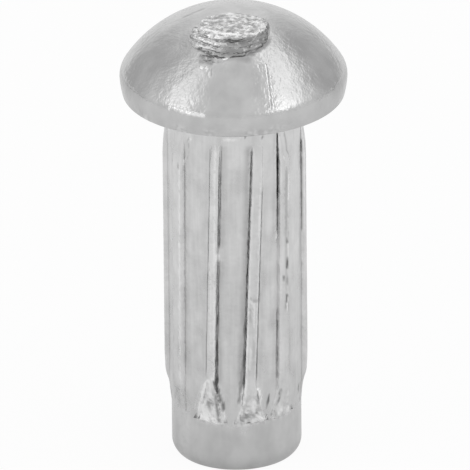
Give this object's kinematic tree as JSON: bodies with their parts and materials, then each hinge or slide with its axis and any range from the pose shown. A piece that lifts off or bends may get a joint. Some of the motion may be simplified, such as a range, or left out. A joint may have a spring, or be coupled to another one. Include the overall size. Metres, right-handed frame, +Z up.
{
  "type": "round head solid rivet with ribbed shank",
  "caption": "Solid round head rivet, driven into a plain hole: domed head with a flat seat, straight ribs raised on the shank and a smooth pilot that guides it in.",
  "frame": {"origin": "centre of the shank's flat end face, which is the bottom of the rivet", "axes": "+Z up along the shank's axis, from the end face through the head; -Y is the side of the head that carries the torn stub"},
  "size_m": [0.007, 0.007, 0.0147],
  "materials": {
    "rivet": "satin, as tumbled after cold forming"
  },
  "bodies": {
    "root": {"rivet": "rivet"}
  },
  "joints": []
}
